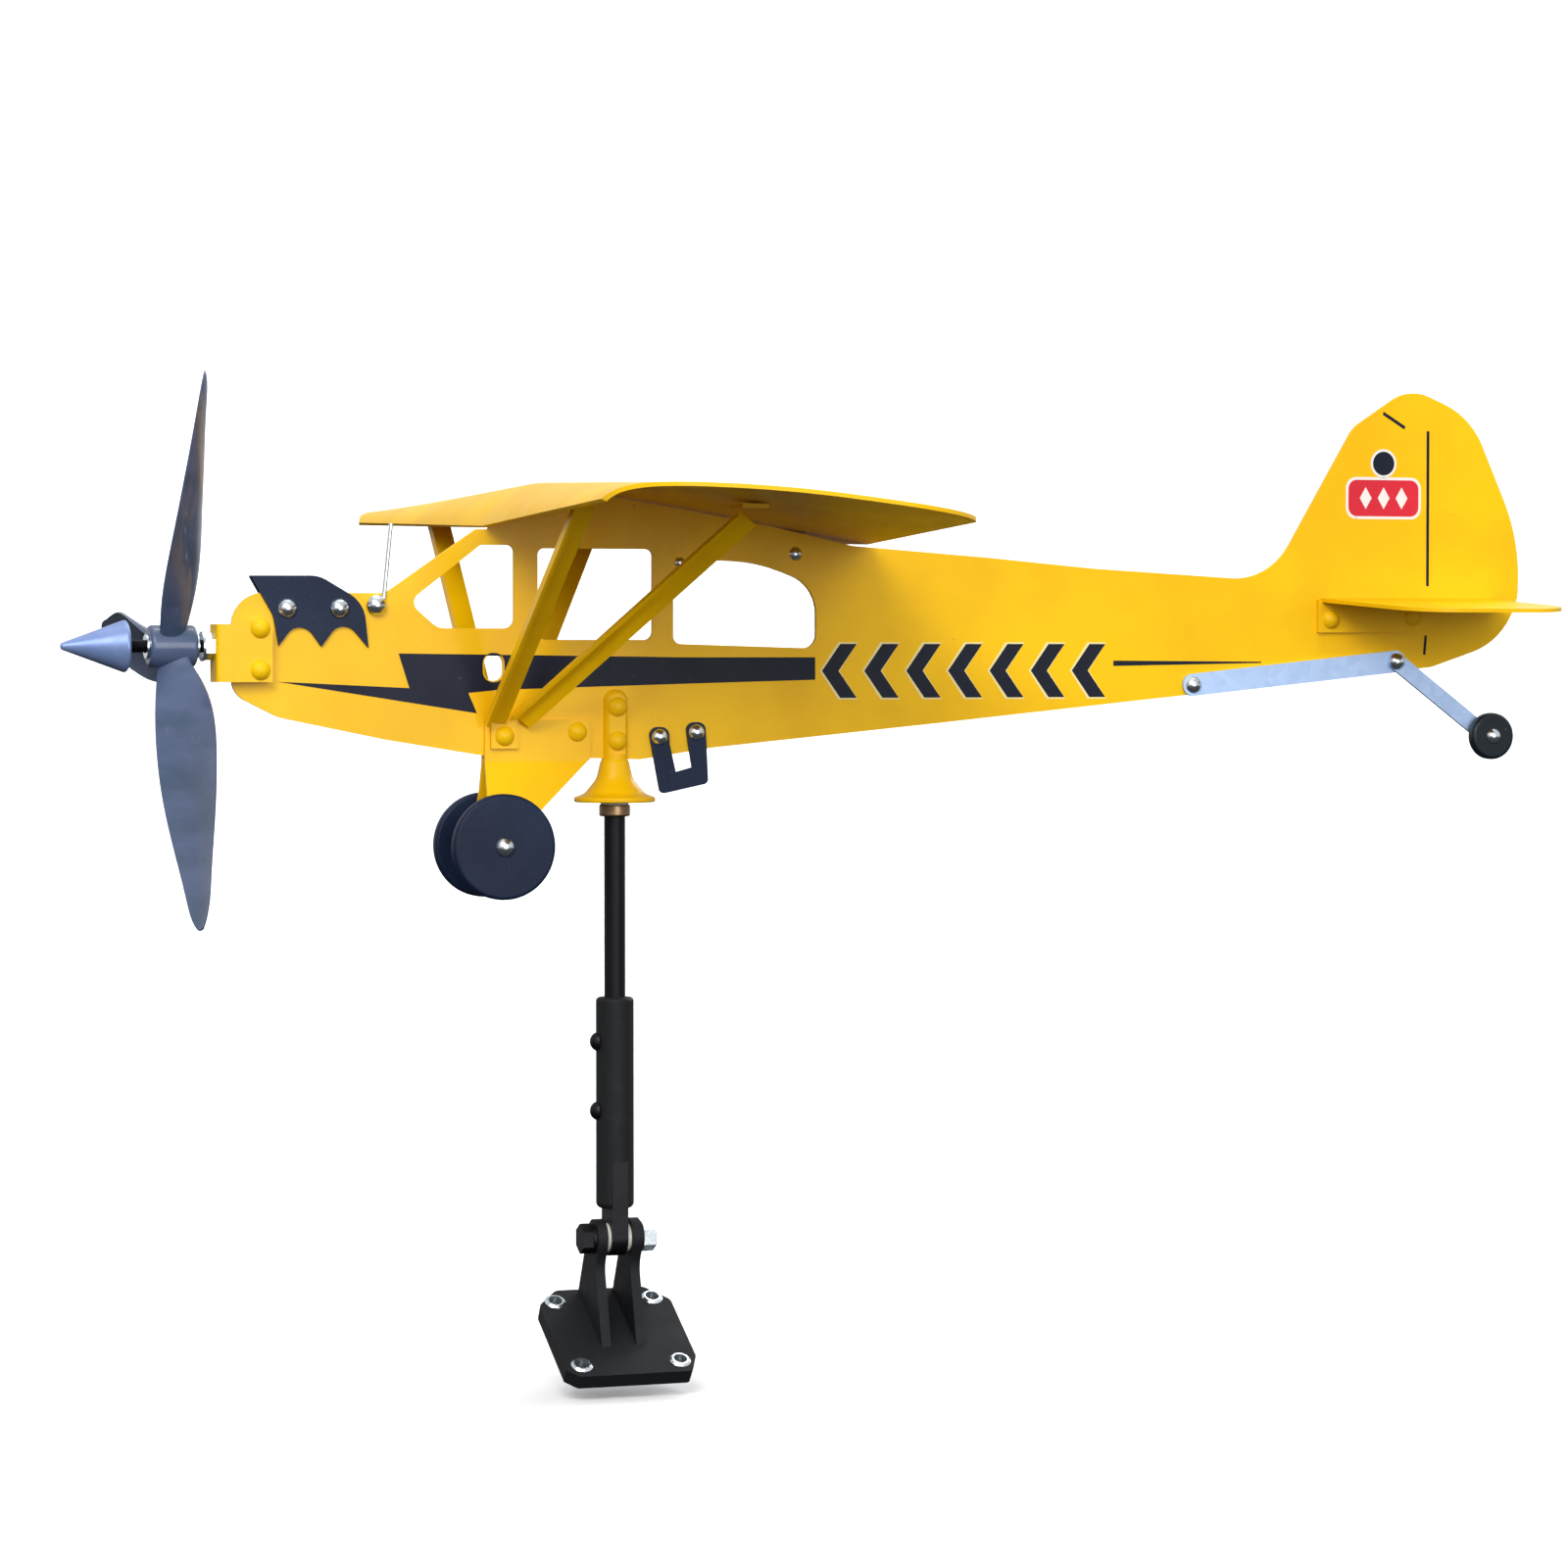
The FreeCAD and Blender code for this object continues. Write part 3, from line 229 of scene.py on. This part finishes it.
YELLOW = (0.93, 0.54, 0.001)
YELLOW_DEEP = (0.82, 0.455, 0.001)
CHIP = (0.60, 0.40, 0.03)
materials = {
    "yellow_paint": enamel("yellow_enamel", YELLOW, YELLOW_DEEP, CHIP),
    "yellow_fastener": enamel("yellow_fastener_enamel", (0.90, 0.55, 0.003), (0.82, 0.46, 0.003), CHIP, 0.34),
    "navy_paint": enamel("navy_enamel", (0.008, 0.018, 0.052), (0.005, 0.012, 0.034), (0.03, 0.04, 0.07),
                         0.46, 0.02),
    "black_mount": powder_coat("black_powder_coat", (0.008, 0.009, 0.011), (0.017, 0.018, 0.020), 0.6),
    "black_rod": powder_coat("black_rod_coat", (0.0015, 0.0015, 0.004), (0.005, 0.005, 0.008), 0.5),
    "dark_steel": bright_metal("blackened_steel", (0.030, 0.030, 0.034), 0.42),
    "bright_steel": bright_metal("bright_zinc", (0.78, 0.85, 0.90), 0.2),
    "galvanised": galvanised("galvanised_strip"),
    "aluminium": turned_aluminium("turned_aluminium"),
    "bronze": bright_metal("bearing_bronze", (0.34, 0.22, 0.12), 0.36),
    "nylon": moulded("white_nylon", (0.72, 0.71, 0.67), (0.66, 0.64, 0.58), 0.5, 0.0),
    "propeller_plastic": moulded("propeller_plastic", (0.085, 0.115, 0.215), (0.045, 0.075, 0.135),
                                 0.34, 0.35),
    "tail_wheel_black": moulded("tail_wheel_plastic", (0.004, 0.010, 0.016), (0.003, 0.007, 0.011),
                                0.45, 0.1),
}
stripe_paint = enamel("stripe_paint", (0.008, 0.011, 0.021), (0.006, 0.009, 0.024), (0.04, 0.04, 0.05),
                      0.45, 0.02)
cream_paint = enamel("cream_outline", (0.86, 0.74, 0.36), (0.82, 0.68, 0.30), CHIP, 0.4, 0.15)
red_paint = enamel("badge_red", (0.70, 0.018, 0.040), (0.58, 0.014, 0.034), (0.4, 0.2, 0.2), 0.36, 0.3)
white_paint = enamel("badge_white", (0.82, 0.80, 0.80), (0.76, 0.74, 0.74), (0.6, 0.5, 0.5), 0.36, 0.3)

slots = {row["node"]: row["material_slot"] for row in frame["record"]["subparts"]}
for node, piece in frame["nodes"].items():
    piece.data.materials.clear()
    piece.data.materials.append(materials[slots[node]])

# ---------------------------------------------------------------- soft edges on the cut sheet metal
SOFT_EDGES = {
    "fuselage_plate": 0.22, "engine_plate_left": 0.16, "engine_plate_right": 0.16, "step_plate": 0.16,
    "gear_leg_left": 0.18, "gear_leg_right": 0.18, "nose_bracket": 0.2, "base_plate": 0.45,
    "tail_spring_strip": 0.18, "tail_wheel_leg": 0.18, "stabiliser_left": 0.18, "stabiliser_right": 0.18,
    "strut_front_left": 0.15, "strut_front_right": 0.15, "strut_rear_left": 0.15, "strut_rear_right": 0.15,
    "strut_feet": 0.18, "strut_top_tabs": 0.15, "wing_brackets": 0.15, "hinge_nut": 0.2,
}
for node, width in SOFT_EDGES.items():
    bevel = frame["nodes"][node].modifiers.new("soft_edges", "BEVEL")
    bevel.width = width * MM
    bevel.segments = 2
    bevel.limit_method = "ANGLE"
    bevel.angle_limit = math.radians(50)
    bevel.use_clamp_overlap = True
    bevel.harden_normals = True

# ---------------------------------------------------------------- painted skins on the fuselage plate


def piece_from(name, points, faces, material, body, smooth=False):
    mesh = bpy.data.meshes.new(name)
    mesh.from_pydata(points, [], faces)
    mesh.validate()
    mesh.materials.append(material)
    if smooth:
        mesh.shade_smooth()
    made = bpy.data.objects.new(name, mesh)
    bpy.context.scene.collection.objects.link(made)
    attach(made, body)
    return made


def rounded(corners, steps=6):
    """Points of an outline whose (x, z, radius) corners are rounded."""
    points = []
    count = len(corners)
    for i, corner in enumerate(corners):
        here = Vector(corner[:2])
        radius = corner[2] if len(corner) > 2 else 0
        if radius == 0:
            points.append(here)
            continue
        back = (Vector(corners[i - 1][:2]) - here).normalized()
        ahead = (Vector(corners[(i + 1) % count][:2]) - here).normalized()
        half = back.angle(ahead) / 2
        centre = here + (back + ahead).normalized() * (radius / math.sin(half))
        first = here + back * (radius / math.tan(half)) - centre
        last = here + ahead * (radius / math.tan(half)) - centre
        turn = first.angle_signed(last)
        for k in range(steps + 1):
            angle = -turn * k / steps
            spun = Vector((first.x * math.cos(angle) - first.y * math.sin(angle),
                           first.x * math.sin(angle) + first.y * math.cos(angle)))
            points.append(centre + spun)
    return points


SKIN = 0.05
PLATE_LOW, PLATE_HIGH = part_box("fuselage_plate")


def skin(name, loops, material, level=1):
    """A thin painted skin on both faces of the fuselage plate; later loops are holes."""
    flat = [[Vector((p.x, p.y, 0)) for p in loop] for loop in loops]
    triangles = tessellate_polygon(flat)
    ring_points = [p for loop in flat for p in loop]
    count = len(ring_points)
    points = []
    faces = []
    for face_y, out in ((PLATE_LOW[1], -1), (PLATE_HIGH[1], 1)):
        start = len(points)
        outer_y = face_y + out * SKIN * level * MM
        inner_y = face_y - out * 0.02 * MM
        for depth in (outer_y, inner_y):
            points += [(p.x * MM, depth, p.y * MM) for p in ring_points]
        faces += [tuple(start + k for k in tri) for tri in triangles]
        faces += [tuple(start + count + k for k in reversed(tri)) for tri in triangles]
        base = start
        for loop in flat:
            for k in range(len(loop)):
                a = base + k
                b = base + (k + 1) % len(loop)
                faces.append((a, b, b + count, a + count))
            base += len(loop)
    made = piece_from(name, points, faces, material, "airframe")
    weld_normals(made)
    return made


def weld_normals(made):
    """Turns every face of a closed piece outwards."""
    work = bmesh.new()
    work.from_mesh(made.data)
    bmesh.ops.recalc_face_normals(work, faces=work.faces)
    work.to_mesh(made.data)
    work.free()


STEP_HOLE = [(-41.6, 200.3, 3.2), (-41.6, 209.1, 3.2), (-34.8, 209.1, 3.2), (-34.8, 200.3, 3.2)]
lightning = [(-104.6, 200.6), (-64.3, 198.6), (-67.6, 208.9), (22.8, 207.7), (64.4, 207.7), (64.4, 200.8),
             (22.8, 199.7), (-36.7, 198.0), (-46.1, 197.1), (-43.4, 191.0)]
skin("lightning_stripe", [rounded(lightning), rounded(STEP_HOLE)], stripe_paint)
tail_line = [(164.2, 206.6), (215.5, 206.2), (215.5, 205.8), (164.2, 204.9)]
skin("tail_line", [rounded(tail_line)], stripe_paint)

MARK_COUNT = 7
MARK_FIRST = 66.6
MARK_PITCH = 13.9
MARK_WIDE = 11.4
MARK_LOW = 195.2
MARK_HIGH = 211.8


def chevron(left, grow):
    """A forward-pointing chevron: a plain geometric mark that stands for no letter."""
    middle = (MARK_LOW + MARK_HIGH) / 2
    low = MARK_LOW - grow
    high = MARK_HIGH + grow
    bar = 5.4 + 2 * grow
    tip = left - grow * 1.3
    lean = MARK_WIDE - 5.4
    return [Vector((tip, middle)), Vector((tip + lean, high)), Vector((tip + lean + bar, high)),
            Vector((tip + bar, middle)), Vector((tip + lean + bar, low)), Vector((tip + lean, low))]


for k in range(MARK_COUNT):
    skin("mark_outline_%d" % k, [chevron(MARK_FIRST + k * MARK_PITCH, 0.5)], cream_paint, 1)
    skin("mark_%d" % k, [chevron(MARK_FIRST + k * MARK_PITCH, 0)], stripe_paint, 2)

rudder_upper = [(274.0, 230.4), (274.0, 280.2), (275.0, 280.2), (275.0, 230.4)]
rudder_lower = [(273.0, 208.4), (273.5, 214.6), (274.4, 214.6), (273.9, 208.4)]
fin_mark = [(258.2, 285.2), (258.6, 286.2), (266.4, 281.6), (266.0, 280.6)]
for name, corners in (("rudder_line_upper", rudder_upper), ("rudder_line_lower", rudder_lower),
                      ("fin_mark", fin_mark)):
    skin(name, [rounded(corners)], stripe_paint)

badge_border = [(245.2, 251.8, 3.6), (245.2, 265.2, 3.6), (272.0, 265.2, 3.6), (272.0, 251.8, 3.6)]
badge_face = [(246.1, 252.7, 2.9), (246.1, 264.3, 2.9), (271.1, 264.3, 2.9), (271.1, 252.7, 2.9)]
skin("badge_border", [rounded(badge_border)], white_paint, 1)
skin("badge_face", [rounded(badge_face)], red_paint, 2)


def disc(x, z, radius, steps=28):
    turns = [2 * math.pi * k / steps for k in range(steps)]
    return [Vector((x + radius * math.cos(turn), z + radius * math.sin(turn))) for turn in turns]


skin("badge_disc_border", [disc(258.6, 269.6, 4.6)], white_paint, 1)
skin("badge_disc", [disc(258.6, 269.6, 3.8)], stripe_paint, 2)
for k in range(3):
    x = 252.2 + 6.4 * k
    diamond = [Vector((x - 2.1, 258.5)), Vector((x, 262.0)), Vector((x + 2.1, 258.5)), Vector((x, 255.0))]
    skin("badge_diamond_%d" % k, [diamond], white_paint, 3)

# ---------------------------------------------------------------- thread on the propeller shaft
SHAFT_LOW, SHAFT_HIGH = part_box("propeller_shaft")


def threaded_bar(name, low, high, pitch, depth, material, body):
    """A bar along X with a helical thread, as large as the CAD bar that it stands for."""
    around = 20
    per_turn = 8
    radius = (high[2] - low[2]) / 2
    centre_y = (low[1] + high[1]) / 2
    centre_z = (low[2] + high[2]) / 2
    rows = int((high[0] - low[0]) / pitch * per_turn)
    points = []
    faces = []
    for i in range(rows + 1):
        x = low[0] + (high[0] - low[0]) * i / rows
        for j in range(around):
            phase = ((x - low[0]) / pitch + j / around) % 1.0
            height = abs(2 * phase - 1)
            r = radius - depth * height
            angle = 2 * math.pi * j / around
            points.append((x, centre_y + r * math.cos(angle), centre_z + r * math.sin(angle)))
    for i in range(rows):
        for j in range(around):
            k = (j + 1) % around
            faces.append((i * around + j, i * around + k, (i + 1) * around + k, (i + 1) * around + j))
    faces.append(tuple(range(around)))
    faces.append(tuple(rows * around + j for j in reversed(range(around))))
    made = piece_from(name, points, faces, material, body)
    weld_normals(made)
    return made


thread = threaded_bar("shaft_thread", SHAFT_LOW, SHAFT_HIGH, 0.7 * MM, 0.36 * MM, materials["dark_steel"],
                      "airframe")
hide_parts("propeller_shaft")

# ---------------------------------------------------------------- floor, light and camera
FLOOR_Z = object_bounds()[0][2] - 0.004
FLOOR_HALF = 20.0
FLOOR_REACH = 24.0
BEND_START = 2.2
BEND = 1.4
BEND_STEPS = 12
WALL_HIGH = 5.0


def backdrop():
    """A pale floor that curves up into a wall far behind."""
    profile = [(-FLOOR_REACH, 0.0), (BEND_START, 0.0)]
    for k in range(1, BEND_STEPS + 1):
        angle = math.pi / 2 * k / BEND_STEPS
        profile.append((BEND_START + BEND * math.sin(angle), BEND - BEND * math.cos(angle)))
    profile.append((BEND_START + BEND, WALL_HIGH))
    points = []
    faces = []
    for y, z in profile:
        points += [(-FLOOR_HALF, y, FLOOR_Z + z), (FLOOR_HALF, y, FLOOR_Z + z)]
    for k in range(len(profile) - 1):
        faces.append((2 * k, 2 * k + 1, 2 * k + 3, 2 * k + 2))
    mesh = bpy.data.meshes.new("studio_floor")
    mesh.from_pydata(points, [], faces)
    mesh.shade_smooth()
    n = Nodes("floor_paper")
    cloud = n.band(n.noise(6, 3), 0.3, 0.7)
    n.set(Base_Color=n.mix(cloud, (0.97, 0.97, 0.97), (0.955, 0.955, 0.955)), Roughness=0.9)
    mesh.materials.append(n.material)
    floor = bpy.data.objects.new("studio_floor", mesh)
    bpy.context.scene.collection.objects.link(floor)
    # unseen by bounced light, so that the undersides stay in shade
    floor.visible_diffuse = False
    floor.visible_glossy = False


backdrop()


def area_light(name, place, aim, width, power, color):
    light = bpy.data.lights.new(name, "AREA")
    light.shape = "SQUARE"
    light.size = width
    light.energy = power
    light.color = color
    lamp = bpy.data.objects.new(name, light)
    lamp.location = place
    lamp.rotation_euler = (Vector(aim) - Vector(place)).to_track_quat("-Z", "Y").to_euler()
    bpy.context.scene.collection.objects.link(lamp)


CENTRE = (0.05, 0.0, 0.18)
area_light("key", (-0.9, -1.5, 1.3), CENTRE, 1.0, 27, (1.0, 0.99, 0.97))
area_light("fill", (0.15, -2.3, 0.42), CENTRE, 1.2, 23, (1.0, 0.99, 0.98))
area_light("top", (0.2, 0.3, 1.9), CENTRE, 1.6, 7, (0.97, 0.98, 1.0))
area_light("wall", (0.6, 0.9, 3.2), (0.9, 3.6, 2.0), 1.6, 150, (1.0, 1.0, 1.0))
area_light("rim", (1.4, 0.9, 1.0), CENTRE, 0.8, 12, (0.93, 0.96, 1.0))

# heights of a direction between which the studio goes from dim to white
DIM_BELOW = -0.14
WHITE_ABOVE = -0.01
world = bpy.data.worlds.new("studio")
world.use_nodes = True
sky = world.node_tree
background = sky.nodes["Background"]
facing = sky.nodes.new("ShaderNodeTexCoord")
apart = sky.nodes.new("ShaderNodeSeparateXYZ")
fade = sky.nodes.new("ShaderNodeValToRGB")
# a white studio above the horizon and a dim one below it, so undersides stay in shade
fade.color_ramp.elements[0].position = 0.0
fade.color_ramp.elements[0].color = (0.07, 0.072, 0.075, 1)
fade.color_ramp.elements[1].position = 1.0
fade.color_ramp.elements[1].color = (0.98, 0.99, 1.0, 1)
sky.links.new(facing.outputs["Generated"], apart.inputs["Vector"])
horizon = sky.nodes.new("ShaderNodeMapRange")
horizon.inputs["From Min"].default_value = DIM_BELOW
horizon.inputs["From Max"].default_value = WHITE_ABOVE
sky.links.new(apart.outputs["Z"], horizon.inputs["Value"])
sky.links.new(horizon.outputs["Result"], fade.inputs["Fac"])
sky.links.new(fade.outputs["Color"], background.inputs["Color"])
background.inputs["Strength"].default_value = 0.74
bpy.context.scene.world = world
bpy.context.scene.view_settings.view_transform = "Standard"

camera_data = bpy.data.cameras.new("camera")
camera_data.sensor_width = 36
camera_data.lens = 108
camera_data.clip_end = 50
camera = bpy.data.objects.new("camera", camera_data)
YAW = math.radians(20)
PITCH = math.radians(1.635)
DISTANCE = 1.44
AIM = (0.0545, 0.0, 0.210)
camera.location = (AIM[0] - DISTANCE * math.sin(YAW), -DISTANCE * math.cos(YAW), AIM[2])
camera.rotation_euler = (math.pi / 2 - PITCH, 0, -YAW)
bpy.context.scene.collection.objects.link(camera)
bpy.context.scene.camera = camera
